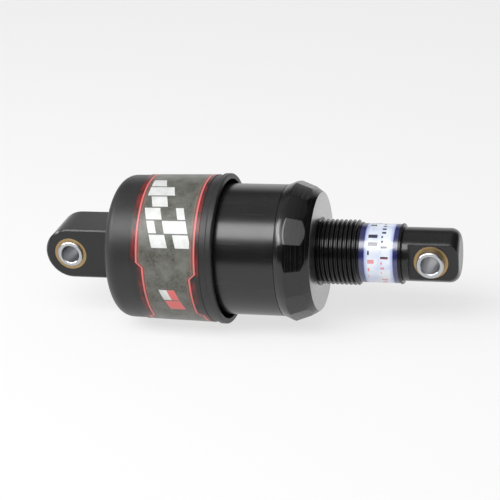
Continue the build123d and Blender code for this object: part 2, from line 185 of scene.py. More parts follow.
# worn edges: where a rounded normal leaves the true one, broken up by noise
def makeEdgeWear():
    agreement = (0.995, 0.9)        # of the two normals, from no wear to full wear
    breakup = (0.42, 0.62)          # of the noise, from untouched to worn
    tree, given, result = newGroup("edgeWear", {"Width": 0.4 * mm, "Breakup": 900.0}, ("Mask",))
    rounded = addNode(tree, "ShaderNodeBevel", {"Radius": given["Width"]}, samples=4).outputs[0]
    sharp = addNode(tree, "ShaderNodeNewGeometry").outputs["Normal"]
    match = addNode(tree, "ShaderNodeVectorMath", {0: rounded, 1: sharp}, operation="DOT_PRODUCT")
    turn = fade(tree, match.outputs["Value"], *agreement)
    patches = fade(tree, noise(tree, objectPlace(tree), given["Breakup"], 4.0), *breakup)
    plug(tree, result["Mask"], calc(tree, "MULTIPLY", turn, patches))
    return tree


# pebbled grain of a mould or a forging, with a second, coarser unevenness
def makeGrain():
    fineShare, cloudShare = 1.7, 0.03       # scales of the other two, beside the pebbles' own
    tree, given, result = newGroup("grain", {"Scale": 3000.0}, ("Height", "Cloud"))
    place = objectPlace(tree)
    scale = given["Scale"]
    pebbles = {"Vector": place, "Scale": scale}
    cells = addNode(tree, "ShaderNodeTexVoronoi", pebbles, feature="SMOOTH_F1").outputs["Distance"]
    fine = noise(tree, place, calc(tree, "MULTIPLY", scale, fineShare), 2.0)
    cloud = noise(tree, place, calc(tree, "MULTIPLY", scale, cloudShare), 3.0)
    plug(tree, result["Height"], mixValue(tree, 0.5, cells, fine))
    plug(tree, result["Cloud"], cloud)
    return tree


# long fine lines along the damper, as from drawing, polishing or the cover sliding over dust
def makeLongLines():
    stretch = 0.035                 # of the noise along the damper
    rare = (0.6, 0.74)              # of the noise, from no scratch to a full one
    tree, given, result = newGroup("longLines", {"Scale": 900.0}, ("Lines", "Rare"))
    place = objectPlace(tree, (stretch, 1.0, 1.0))
    lines = noise(tree, place, given["Scale"], 4.0, 0.7)
    plug(tree, result["Lines"], lines)
    plug(tree, result["Rare"], fade(tree, lines, *rare))
    return tree


# dust that settles on surfaces that face up
def makeDust():
    upward = (0.2, 1.0)             # of the normal's rise, from clean to dusty
    speckScale, speckRange = 2600.0, (0.5, 0.75)
    cloudScale = 60.0
    tree, given, result = newGroup("dust", {"Amount": 0.1}, ("Mask",))
    normal = addNode(tree, "ShaderNodeNewGeometry").outputs["Normal"]
    up = fade(tree, addNode(tree, "ShaderNodeSeparateXYZ", {0: normal}).outputs[2], *upward)
    specks = fade(tree, noise(tree, objectPlace(tree), speckScale, 5.0, 0.7), *speckRange)
    clouds = noise(tree, objectPlace(tree), cloudScale, 3.0)
    spread = calc(tree, "MULTIPLY", calc(tree, "MULTIPLY", up, specks), clouds)
    plug(tree, result["Mask"], calc(tree, "MULTIPLY", spread, given["Amount"]))
    return tree


damperAxis = makeDamperAxis()
eyeAxis = makeEyeAxis()
toolRings = makeToolRings()
edgeWear = makeEdgeWear()
grain = makeGrain()
longLines = makeLongLines()
dust = makeDust()


# finishes

def newFinish(name, roughness=0.5, metallic=0.0, **sockets):
    material = bpy.data.materials.new(name)
    material.use_nodes = True
    shader = material.node_tree.nodes["Principled BSDF"]
    shader.inputs["Roughness"].default_value = roughness
    shader.inputs["Metallic"].default_value = metallic
    for label, value in sockets.items():
        shader.inputs[label.replace("_", " ")].default_value = value
    return material.node_tree, shader, material


# rounds the edges for the light, then lays the small relief over them
def setRelief(tree, shader, height, depth, edge=0.3 * mm):
    rounded = addNode(tree, "ShaderNodeBevel", {"Radius": edge}, samples=6).outputs[0]
    relief = {"Height": height, "Distance": depth, "Strength": 1.0, "Normal": rounded}
    plug(tree, shader.inputs["Normal"], addNode(tree, "ShaderNodeBump", relief).outputs[0])


def grey(level, tint=(1.0, 1.0, 1.0)):
    return (level * tint[0], level * tint[1], level * tint[2], 1.0)


# black anodised or coated metal: bare metal shows at the edges
def coatedMetal(name, look):
    uneven = 0.06                   # of the roughness, each way
    bareTone, bareRoughness = grey(0.35), 0.35
    dustTone = grey(0.3)
    tree, shader, material = newFinish(name, look["roughness"], Specular_IOR_Level=look["mirror"])
    pebbles = useGroup(tree, grain, {"Scale": look["grain"]})
    worn = useGroup(tree, edgeWear, {"Width": look["wearWidth"]})["Mask"]
    worn = calc(tree, "MULTIPLY", worn, look["wear"])
    colour = mixColour(tree, pebbles["Cloud"], grey(look["dark"]), grey(look["light"], (1.0, 1.0, 1.04)))
    dusty = useGroup(tree, dust, {"Amount": look["dust"]})["Mask"]
    colour = mixColour(tree, dusty, colour, dustTone)
    plug(tree, shader.inputs["Base Color"], mixColour(tree, worn, colour, bareTone))
    shine = mixValue(tree, pebbles["Cloud"], look["roughness"] - uneven, look["roughness"] + uneven)
    plug(tree, shader.inputs["Roughness"], mixValue(tree, worn, shine, bareRoughness))
    plug(tree, shader.inputs["Metallic"], worn)
    setRelief(tree, shader, pebbles["Height"], look["depth"], look["edge"])
    return material


# injection moulded plastic
def mouldedPlastic(name, look):
    scratchTone = grey(0.16)
    dustTone = grey(0.4, (1.0, 0.98, 0.94))
    gloss = {"Specular_IOR_Level": look["mirror"], "IOR": look["ior"]}
    tree, shader, material = newFinish(name, look["roughness"], **gloss)
    pebbles = useGroup(tree, grain, {"Scale": look["grain"]})
    lines = useGroup(tree, longLines, {"Scale": look["lines"]})
    dark, light = grey(look["dark"], look["tint"]), grey(look["light"], look["tint"])
    colour = mixColour(tree, pebbles["Cloud"], dark, light)
    scratched = calc(tree, "MULTIPLY", lines["Rare"], look["scratches"])
    colour = mixColour(tree, scratched, colour, scratchTone)
    dusty = useGroup(tree, dust, {"Amount": look["dust"]})["Mask"]
    plug(tree, shader.inputs["Base Color"], mixColour(tree, dusty, colour, dustTone))
    smooth, rough = look["roughness"] - look["uneven"], look["roughness"] + look["uneven"]
    shine = mixValue(tree, pebbles["Cloud"], smooth, rough)
    plug(tree, shader.inputs["Roughness"], calc(tree, "MULTIPLY_ADD", lines["Lines"], look["uneven"], shine))
    relief = calc(tree, "MULTIPLY_ADD", lines["Lines"], look["lineRelief"], pebbles["Height"])
    setRelief(tree, shader, relief, look["depth"], look["edge"])
    return material


# bare metal turned on a lathe or ground
def turnedMetal(name, look):
    darkShare = 0.72                # of the colour, in the clouds
    uneven = 0.08                   # of the roughness, each way
    tree, shader, material = newFinish(name, look["roughness"], 1.0)
    axis = useGroup(tree, look["axis"])
    rings = {"Along": axis["Along"], "Radius": axis["Radius"], "Per mm": look["perMm"]}
    rings = useGroup(tree, toolRings, rings)["Height"]
    cloud = useGroup(tree, grain, {"Scale": look["grain"]})["Cloud"]
    dark = tuple(darkShare * part for part in look["colour"][:3]) + (1.0,)
    plug(tree, shader.inputs["Base Color"], mixColour(tree, cloud, dark, look["colour"]))
    shine = mixValue(tree, rings, look["roughness"] - uneven, look["roughness"] + uneven)
    plug(tree, shader.inputs["Roughness"], mixValue(tree, cloud, shine, look["roughness"]))
    setRelief(tree, shader, rings, look["depth"], look["edge"])
    return material


def rubberLike(name, look):
    uneven = 0.1                    # of the roughness, each way
    tree, shader, material = newFinish(name, look["roughness"])
    pebbles = useGroup(tree, grain, {"Scale": look["grain"]})
    plug(tree, shader.inputs["Base Color"], mixColour(tree, pebbles["Height"], look["dark"], look["light"]))
    rough = mixValue(tree, pebbles["Cloud"], look["roughness"] - uneven, look["roughness"] + uneven)
    plug(tree, shader.inputs["Roughness"], rough)
    setRelief(tree, shader, pebbles["Height"], look["depth"])
    return material


finishes = {}
finishes["black_forging"] = coatedMetal("blackForging", {
    "dark": 0.006, "light": 0.012, "roughness": 0.22, "grain": 2600.0, "depth": 0.006 * mm,
    "wear": 0.35, "wearWidth": 0.35 * mm, "dust": 0.2, "edge": 0.7 * mm, "mirror": 0.5})
finishes["black_tube"] = coatedMetal("blackTube", {
    "dark": 0.003, "light": 0.006, "roughness": 0.22, "grain": 4200.0, "depth": 0.003 * mm,
    "wear": 0.2, "wearWidth": 0.12 * mm, "dust": 0.1, "edge": 0.12 * mm, "mirror": 0.35})
finishes["spring_paint"] = coatedMetal("springPaint", {
    "dark": 0.018, "light": 0.03, "roughness": 0.38, "grain": 1500.0, "depth": 0.02 * mm,
    "wear": 0.3, "wearWidth": 0.4 * mm, "dust": 0.1, "edge": 0.3 * mm, "mirror": 0.35})
finishes["satin_cover"] = mouldedPlastic("satinCover", {
    "dark": 0.014, "light": 0.022, "tint": (1.0, 1.0, 1.05), "roughness": 0.4, "uneven": 0.04,
    "grain": 3400.0, "depth": 0.012 * mm, "lines": 900.0, "lineRelief": 0.1, "scratches": 0.05,
    "dust": 0.35, "edge": 0.3 * mm, "mirror": 0.5, "ior": 1.5})
finishes["gloss_cover"] = mouldedPlastic("glossCover", {
    "dark": 0.004, "light": 0.007, "tint": (1.0, 0.98, 1.04), "roughness": 0.22, "uneven": 0.05,
    "grain": 1800.0, "depth": 0.0012 * mm, "lines": 1100.0, "lineRelief": 2.0, "scratches": 0.16,
    "dust": 0.2, "edge": 0.25 * mm, "mirror": 0.5, "ior": 1.6})
finishes["band_plastic"] = mouldedPlastic("bandPlastic", {
    "dark": 0.22, "light": 0.34, "tint": (1.0, 0.95, 0.82), "roughness": 0.5, "uneven": 0.06,
    "grain": 4000.0, "depth": 0.006 * mm, "lines": 900.0, "lineRelief": 0.3, "scratches": 0.05,
    "dust": 0.0, "edge": 0.15 * mm, "mirror": 0.5, "ior": 1.5})
finishes["steel"] = turnedMetal("zincSteel", {
    "colour": (0.60, 0.61, 0.63, 1.0), "roughness": 0.32, "perMm": 5.0, "grain": 2500.0,
    "depth": 0.006 * mm, "edge": 0.25 * mm, "axis": eyeAxis})
finishes["shim_steel"] = turnedMetal("shimSteel", {
    "colour": (0.52, 0.54, 0.60, 1.0), "roughness": 0.25, "perMm": 7.0, "grain": 2500.0,
    "depth": 0.003 * mm, "edge": 0.05 * mm, "axis": damperAxis})
finishes["hard_chrome"] = turnedMetal("hardChrome", {
    "colour": (0.78, 0.79, 0.81, 1.0), "roughness": 0.12, "perMm": 9.0, "grain": 1200.0,
    "depth": 0.001 * mm, "edge": 0.2 * mm, "axis": damperAxis})
finishes["turned_aluminium"] = turnedMetal("turnedAluminium", {
    "colour": (0.70, 0.71, 0.73, 1.0), "roughness": 0.34, "perMm": 4.0, "grain": 1800.0,
    "depth": 0.008 * mm, "edge": 0.2 * mm, "axis": damperAxis})
finishes["bearing_bronze"] = turnedMetal("bearingBronze", {
    "colour": (0.50, 0.35, 0.17, 1.0), "roughness": 0.42, "perMm": 5.0, "grain": 3200.0,
    "depth": 0.006 * mm, "edge": 0.15 * mm, "axis": eyeAxis})
finishes["seal_rubber"] = rubberLike("sealRubber", {
    "dark": grey(0.010), "light": grey(0.024), "roughness": 0.6, "grain": 5000.0, "depth": 0.01 * mm})
finishes["bump_rubber"] = rubberLike("bumpRubber", {
    "dark": (0.05, 0.04, 0.028, 1.0), "light": (0.16, 0.13, 0.09, 1.0), "roughness": 0.75,
    "grain": 2400.0, "depth": 0.12 * mm})
print("plain finishes mixed:", len(finishes))


# preload ring: black flanks, and a rear face turned bright after the black went on
ringLow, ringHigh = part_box("preload_nut")


def ringFinish():
    look = {
        "dark": 0.002,
        "light": 0.006,
        "roughness": 0.15,
        "streakRoughness": 0.25,    # added where a streak is strong
        "streaks": (1.6, 240.0),    # to a mm along, and scale of the noise that breaks them up
        "streakRange": (0.4, 0.65),
        "rings": 3.0,               # tool rings to a mm
        "wearWidth": 0.3 * mm,
        "wear": 0.25,
        "bright": (0.62, 0.62, 0.63, 1.0),
        "dull": (0.30, 0.30, 0.31, 1.0),
        "brightRoughness": 0.3,
        "mottle": 1300.0,
        "mottleRange": (0.35, 0.65),
        "ringShare": 0.4,           # of the mottle that follows the tool rings
        "faceDepth": 0.06,          # bright skin on the rear face, mm
        "faceSoft": 0.03,
        "depth": 0.02 * mm,
        "flankDepth": 0.25,         # share of that depth on the black flanks
        "edge": 0.2 * mm,
    }
    tree, shader, material = newFinish("blackRing", look["roughness"], Specular_IOR_Level=0.5, IOR=1.6)
    axis = useGroup(tree, damperAxis)
    rings = {"Along": axis["Along"], "Radius": axis["Radius"], "Per mm": look["rings"]}
    rings = useGroup(tree, toolRings, rings)["Height"]
    streaks = useGroup(tree, toolRings, {"Along": axis["Along"], "Per mm": look["streaks"][0]})["Height"]
    broken = noise(tree, objectPlace(tree), look["streaks"][1])
    streaks = calc(tree, "MULTIPLY", fade(tree, streaks, *look["streakRange"]), broken)
    worn = useGroup(tree, edgeWear, {"Width": look["wearWidth"]})["Mask"]
    worn = calc(tree, "MULTIPLY", worn, look["wear"])
    faceStart = ringHigh.x / mm - look["faceDepth"]
    face = fade(tree, axis["Along"], faceStart - look["faceSoft"], faceStart + look["faceSoft"])
    bare = calc(tree, "MAXIMUM", face, worn)
    black = mixColour(tree, streaks, grey(look["dark"]), grey(look["light"]))
    mottle = noise(tree, objectPlace(tree), look["mottle"], 4.0, 0.7)
    mottle = mixValue(tree, look["ringShare"], mottle, rings)
    silver = mixColour(tree, fade(tree, mottle, *look["mottleRange"]), look["dull"], look["bright"])
    plug(tree, shader.inputs["Base Color"], mixColour(tree, bare, black, silver))
    shine = mixValue(tree, streaks, look["roughness"], look["roughness"] + look["streakRoughness"])
    plug(tree, shader.inputs["Roughness"], mixValue(tree, bare, shine, look["brightRoughness"]))
    plug(tree, shader.inputs["Metallic"], bare)
    share = mixValue(tree, face, look["flankDepth"], 1.0)
    setRelief(tree, shader, calc(tree, "MULTIPLY", rings, share), look["depth"], look["edge"])
    return material


# printed film on the outer cover
labelLow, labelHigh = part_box("outer_cover_label")


def coverPrintFinish():
    look = {
        "roughness": 0.34,
        "border": 3.0,              # label edge to the middle of the red line, mm
        "lineWidth": 0.75,
        "step": 2.6,                # how far a line steps inwards, mm
        "stepSoft": 4.0,            # degrees round that a step takes
        "rightShift": 1.0,          # the line nearest the mouth stands this much further out, mm
        "thinLine": (0.8, 1.15),    # inwards from the edge of the red line, mm
        "glow": (-2.4, 0.7, 1.2),   # red haze: start, end and softness, mm
        "period": 180.0,            # the print repeats twice round, degrees
        "shift": 34.0,
        "leftStep": (-80.0, -24.0),     # where the line nearest the shaft eye steps in
        "rightStep": (-72.0, -32.0),
        "red": (0.68, 0.15, 0.14, 1.0),
        "softRed": (0.30, 0.10, 0.085, 1.0),
        "deepRed": (0.17, 0.015, 0.015, 1.0),
        "olive": (0.14, 0.14, 0.118, 1.0),
        "darkOlive": (0.04, 0.04, 0.033, 1.0),
        "patchOlive": (0.15, 0.15, 0.135, 1.0),
        "pale": (0.74, 0.76, 0.74, 1.0),
        "worn": (0.56, 0.56, 0.56, 1.0),
        "edging": 0.014,            # grey of the film outside the lines
        "speckle": 1100.0,
        "patches": 160.0,
        "block": (3.6, 11.0),       # mm along, degrees round
        "blockInRow": (0.06, 0.96), # shares of a row that a block fills
        "upper": ((-1.5, 4.5), (-2.5, 2.5)),    # rows and columns of the field of pale blocks
        "lower": ((-6.5, -4.5), (-3.5, -1.5)),  # and of the few ticks below it
        "keptBlocks": 0.36,         # a draw above this keeps a block of the field
        "redTicks": 0.5,            # and above this makes a tick red
        "slant": 0.16,              # mm along for each degree round
        "margin": 2.0,              # kept clear of blocks inside a border line, mm
    }
    tree, shader, material = newFinish("coverPrint", look["roughness"])
    axis = useGroup(tree, damperAxis)
    along = axis["Along"]
    turn = calc(tree, "SUBTRACT", axis["Angle"], look["shift"])
    turn = calc(tree, "WRAP", turn, look["period"] / 2, -look["period"] / 2)

    # two border lines, each with a stepped stretch
    def borderLine(edge, inward, stepped):
        shift = band(tree, turn, stepped[0], stepped[1], look["stepSoft"])
        fromEdge = calc(tree, "SUBTRACT", along, edge)
        line = calc(tree, "MULTIPLY_ADD", shift, -inward * look["step"], fromEdge)
        return calc(tree, "MULTIPLY", line, inward)      # 0 on the line, positive towards the middle

    left = borderLine(labelLow.x / mm + look["border"], 1.0, look["leftStep"])
    rightEdge = labelHigh.x / mm - look["border"] + look["rightShift"]
    right = borderLine(rightEdge, -1.0, look["rightStep"])
    inside = calc(tree, "MINIMUM", left, right)
    half = look["lineWidth"] / 2
    line = band(tree, inside, -half, half, 0.12)
    thin = band(tree, inside, half + look["thinLine"][0], half + look["thinLine"][1], 0.15)
    field = fade(tree, inside, -0.05, 0.05)
    glow = band(tree, inside, *look["glow"])

    # speckled ground
    speckle = noise(tree, objectPlace(tree), look["speckle"], 6.0, 0.8)
    patches = noise(tree, objectPlace(tree), look["patches"], 2.0)
    ground = mixColour(tree, fade(tree, speckle, 0.36, 0.66), look["darkOlive"], look["olive"])
    ground = mixColour(tree, fade(tree, patches, 0.4, 0.7), ground, look["patchOlive"])

    # slanted blocks: a broken field of pale ones, and a few pale or red ticks below it
    middle = (labelLow.x + labelHigh.x) / 2 / mm
    leant = calc(tree, "MULTIPLY_ADD", turn, look["slant"], calc(tree, "SUBTRACT", along, middle))
    column = calc(tree, "DIVIDE", leant, look["block"][0])
    row = calc(tree, "DIVIDE", turn, look["block"][1])
    columnAt = calc(tree, "FLOOR", column)
    rowAt = calc(tree, "FLOOR", row)
    cell = addNode(tree, "ShaderNodeCombineXYZ", {0: columnAt, 1: rowAt, 2: 3.7}).outputs[0]
    draw = addNode(tree, "ShaderNodeTexWhiteNoise", {"Vector": cell}, noise_dimensions="3D").outputs["Value"]
    inRow = band(tree, calc(tree, "SUBTRACT", row, rowAt), *look["blockInRow"], 0.03)
    block = calc(tree, "MULTIPLY", inRow, fade(tree, inside, look["margin"], look["margin"] + 0.1))

    # 1 inside a stretch of whole rows and columns
    def stretch(rows, columns):
        return calc(tree, "MULTIPLY", band(tree, rowAt, *rows, 0.2), band(tree, columnAt, *columns, 0.2))

    kept = calc(tree, "GREATER_THAN", draw, look["keptBlocks"])
    dense = calc(tree, "MULTIPLY", stretch(*look["upper"]), kept)
    blocks = calc(tree, "MULTIPLY", block, dense)
    ticks = calc(tree, "MULTIPLY", block, stretch(*look["lower"]))
    redTick = calc(tree, "MULTIPLY", ticks, calc(tree, "GREATER_THAN", draw, look["redTicks"]))

    colour = mixColour(tree, field, grey(look["edging"]), ground)
    haze = calc(tree, "MULTIPLY", glow, fade(tree, patches, 0.35, 0.6))
    colour = mixColour(tree, haze, colour, look["deepRed"])
    shade = fade(tree, noise(tree, objectPlace(tree), 300.0, 3.0), 0.2, 0.8)
    pale = mixColour(tree, shade, look["worn"], look["pale"])
    colour = mixColour(tree, blocks, colour, pale)
    colour = mixColour(tree, ticks, colour, pale)
    colour = mixColour(tree, redTick, colour, look["red"])
    colour = mixColour(tree, calc(tree, "MULTIPLY", thin, 0.7), colour, look["softRed"])
    colour = mixColour(tree, line, colour, look["red"])
    dusty = useGroup(tree, dust, {"Amount": 0.25})["Mask"]
    plug(tree, shader.inputs["Base Color"], mixColour(tree, dusty, colour, grey(0.4)))
    rough = mixValue(tree, speckle, look["roughness"] - 0.08, look["roughness"] + 0.1)
    plug(tree, shader.inputs["Roughness"], rough)
    ink = calc(tree, "MAXIMUM", line, calc(tree, "MAXIMUM", blocks, ticks))
    setRelief(tree, shader, calc(tree, "MULTIPLY_ADD", speckle, 0.3, ink), 0.01 * mm, 0.1 * mm)
    return material


# printed film on the damper tube
filmLow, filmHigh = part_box("tube_label")


def tubePrintFinish():
    look = {
        "roughness": 0.24,
        "pinkBelow": 14.0,          # marks are pink below this angle
        "borders": (2.5, 2.1),      # blue at each side, mm
        "halo": 0.75,               # strength of the softer blue inside it
        "blue": (0.004, 0.006, 0.06, 1.0),
        "brightBlue": (0.012, 0.016, 0.14, 1.0),
        "softBlue": (0.35, 0.42, 0.75, 1.0),
        "white": (0.82, 0.85, 0.90, 1.0),
        "paleBlue": (0.62, 0.70, 0.88, 1.0),
        "navy": (0.02, 0.022, 0.06, 1.0),
        "pink": (0.75, 0.28, 0.32, 1.0),
        "bars": ((3.9, 8.9, 17.0), (9.6, 13.0, 10.5)),  # start and furthest end, mm; pitch, degrees
        "barInPitch": (0.2, 0.66),
        "seedStep": 17.3,           # sets the two rows of bars apart
    }
    tree, shader, material = newFinish("tubePrint", look["roughness"], Specular_IOR_Level=1.0, IOR=1.6)
    axis = useGroup(tree, damperAxis)
    across = calc(tree, "SUBTRACT", axis["Along"], filmLow.x / mm)
    width = (filmHigh.x - filmLow.x) / mm
    mottle = noise(tree, objectPlace(tree), 700.0, 4.0, 0.7)
    patches = noise(tree, objectPlace(tree), 190.0, 2.0)
    low, high = look["borders"][0], width - look["borders"][1]
    sides = calc(tree, "SUBTRACT", 1.0, band(tree, across, low, high, 0.5))
    halo = calc(tree, "SUBTRACT", 1.0, band(tree, across, low + 1.0, high - 1.0, 1.2))
    colour = mixColour(tree, fade(tree, patches, 0.35, 0.7), look["white"], look["paleBlue"])
    colour = mixColour(tree, calc(tree, "MULTIPLY", halo, look["halo"]), colour, look["softBlue"])
    colour = mixColour(tree, sides, colour, mixColour(tree, mottle, look["blue"], look["brightBlue"]))
    for number, (start, end, pitch) in enumerate(look["bars"]):
        step = calc(tree, "DIVIDE", axis["Angle"], pitch)
        cell = calc(tree, "FLOOR", step)
        seed = {"W": calc(tree, "ADD", cell, look["seedStep"] * number)}
        draw = addNode(tree, "ShaderNodeTexWhiteNoise", seed, noise_dimensions="1D").outputs["Value"]
        barEnd = calc(tree, "MULTIPLY_ADD", draw, end - start, start)
        bar = calc(tree, "MULTIPLY", fade(tree, across, start - 0.05, start + 0.05),
                   calc(tree, "LESS_THAN", across, barEnd))
        inPitch = band(tree, calc(tree, "SUBTRACT", step, cell), *look["barInPitch"], 0.06)
        bar = calc(tree, "MULTIPLY", bar, inPitch)
        below = calc(tree, "LESS_THAN", axis["Angle"], look["pinkBelow"])
        ink = mixColour(tree, below, look["navy"], look["pink"])
        colour = mixColour(tree, bar, colour, ink)
    plug(tree, shader.inputs["Base Color"], colour)
    rough = mixValue(tree, mottle, look["roughness"] - 0.06, look["roughness"] + 0.08)
    plug(tree, shader.inputs["Roughness"], rough)
    setRelief(tree, shader, mottle, 0.004 * mm, 0.08 * mm)
    return material


finishes["black_ring"] = ringFinish()
finishes["cover_print"] = coverPrintFinish()
finishes["tube_print"] = tubePrintFinish()
print("printed and two-tone finishes mixed:", len(finishes))


# mesh helpers

# turns an outline of (along, radius) round the damper's axis
def turnOutline(bm, outline, steps):
    corners = [bm.verts.new((along, 0.0, radius)) for along, radius in outline]
    edges = [bm.edges.new(pair) for pair in zip(corners, corners[1:])]
    bmesh.ops.spin(bm, geom=corners + edges, cent=(0, 0, 0), axis=(1, 0, 0), angle=math.tau,
                   steps=steps, use_merge=True)


# cuts a mesh off square at both ends
def trimEnds(bm, start, end):
    for place, outward in ((start, -1), (end, 1)):
        bmesh.ops.bisect_plane(bm, geom=bm.verts[:] + bm.edges[:] + bm.faces[:], dist=0.0001 * mm,
                               plane_co=(place, 0, 0), plane_no=(outward, 0, 0), clear_outer=True)


# the skin of a right-hand screw thread, cut off square at both ends
def threadSkin(bm, thread, start, end, clearance=0.0):
    pitch = thread["pitch"]
    crest = thread["crest"] + clearance
    root = thread["root"] + clearance
    shape = [(0.0, root), (thread["rootFlat"] / 2, root), (0.5 - thread["crestFlat"] / 2, crest),
             (0.5 + thread["crestFlat"] / 2, crest), (1 - thread["rootFlat"] / 2, root), (1.0, root)]
    first = math.floor(start / pitch) - 1
    turns = math.ceil(end / pitch) + 1 - first
    corners = [bm.verts.new(((first + share) * pitch, 0.0, radius)) for share, radius in shape]
    edges = [bm.edges.new(pair) for pair in zip(corners, corners[1:])]
    steps = thread["steps"]
    bmesh.ops.spin(bm, geom=corners + edges, cent=(0, 0, 0), axis=(1, 0, 0), angle=math.tau * turns,
                   dvec=(pitch / steps, 0, 0), steps=steps * turns)
    bmesh.ops.remove_doubles(bm, verts=bm.verts, dist=0.001 * mm)
    trimEnds(bm, start, end)


# closes the flat ring between the two open loops that lie in one plane across the damper
def closeFlat(bm, along):
    closeEnough = 0.001 * mm

    def fits(edge):
        return edge.is_boundary and all(abs(vert.co.x - along) < closeEnough for vert in edge.verts)

    loops = [edge for edge in bm.edges if fits(edge)]
    bmesh.ops.triangle_fill(bm, edges=loops, normal=(1, 0, 0), use_beauty=True)


# gives a finished mesh its name, body, finish and shading
def setDown(bm, name, body, slot, nodes, sharpAngle=28.0):
    bmesh.ops.remove_doubles(bm, verts=bm.verts, dist=0.0005 * mm)
    bmesh.ops.dissolve_degenerate(bm, edges=bm.edges, dist=0.0005 * mm)
    bmesh.ops.recalc_face_normals(bm, faces=bm.faces)
    openCount = sum(1 for edge in bm.edges if not edge.is_manifold)
    for face in bm.faces:
        face.smooth = True
    for edge in bm.edges:
        edge.smooth = edge.is_manifold and edge.calc_face_angle(0.0) < math.radians(sharpAngle)
    mesh = bpy.data.meshes.new(name)
    bm.to_mesh(mesh)
    bm.free()
    mesh.materials.append(finishes[slot])
    piece = bpy.data.objects.new(name, mesh)
    bpy.context.scene.collection.objects.link(piece)
    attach(piece, body)
    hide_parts(*nodes)
    print(name, "made with", len(mesh.polygons), "faces and", openCount, "open edges")
    return piece


# damper tube with its preload thread
tubeLow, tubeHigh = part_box("damper_tube")
thread = {
    "pitch": 2.0 * mm,
    "crest": tubeHigh.z,
    "root": tubeHigh.z - 1.15 * mm,
    "crestFlat": 0.2,           # shares of the pitch
    "rootFlat": 0.24,
    "steps": 90,                # to a turn
}
tube = {
    "threadEnd": filmLow.x - 0.2 * mm,      # the film leaves this much of the tube bare at each side
    "chamfer": 1.0 * mm,
    "plain": 12.9 * mm,
    "rim": 13.4 * mm,
    "rimStart": filmHigh.x + 0.2 * mm,
    "rimRound": 0.4 * mm,
    "bore": 10.5 * mm,
}


def makeTube():
    bm = bmesh.new()
    start, end = tubeLow.x, tube["threadEnd"]
    threadSkin(bm, thread, start, end)
    for vert in bm.verts:       # lead-in chamfers
        reach = min(vert.co.x - start, end - vert.co.x)
        limit = thread["crest"] - tube["chamfer"] + reach
        radius = math.hypot(vert.co.y, vert.co.z)
        if radius > limit:
            vert.co.y *= limit / radius
            vert.co.z *= limit / radius
    last, rim, soft = tubeHigh.x, tube["rim"], tube["rimRound"]
    quarter = [(soft * (1 - math.cos(math.radians(a))), soft * (1 - math.sin(math.radians(a))))
               for a in range(0, 91, 15)]
    outline = [(end, tube["plain"]), (tube["rimStart"], tube["plain"])]
    outline += [(tube["rimStart"] + along, rim - drop) for along, drop in quarter]
    outline += [(last - along, rim - drop) for along, drop in reversed(quarter)]
    outline += [(last, tube["bore"]), (start, tube["bore"])]
    turnOutline(bm, outline, thread["steps"])
    closeFlat(bm, start)
    closeFlat(bm, end)
    setDown(bm, "threaded_tube", "damper", "black_tube", ["damper_tube"])


makeTube()

# preload ring: turned, cut to facets that taper to the rear, then broken at its edges
ring = {
    "sides": 16,
    "turn": 16.1,                       # first corner, from the far side up, degrees
    "corner": 31.5 * mm,                # at the crown
    "length": 15.3 * mm,                # without the hub
    "frontRadius": 29.4 * mm,
    "frontChamfer": 5.2 * mm,
    "taper": 20.5,                      # of the facets, degrees
    "rearRadius": 26.5 * mm,
    "rearAngle": 35.0,                  # of the chamfer round the rear face, degrees
    "hubRadius": 18.5 * mm,
    "hubChamfer": 0.8 * mm,
    "clearance": 0.06 * mm,
    "edge": 0.28 * mm,
    "edgeAngle": 9.0,                   # edges sharper than this are broken, degrees
    "spare": 0.2 * mm,                  # beyond the corners, until the facets are cut
    "steps": 144,
}


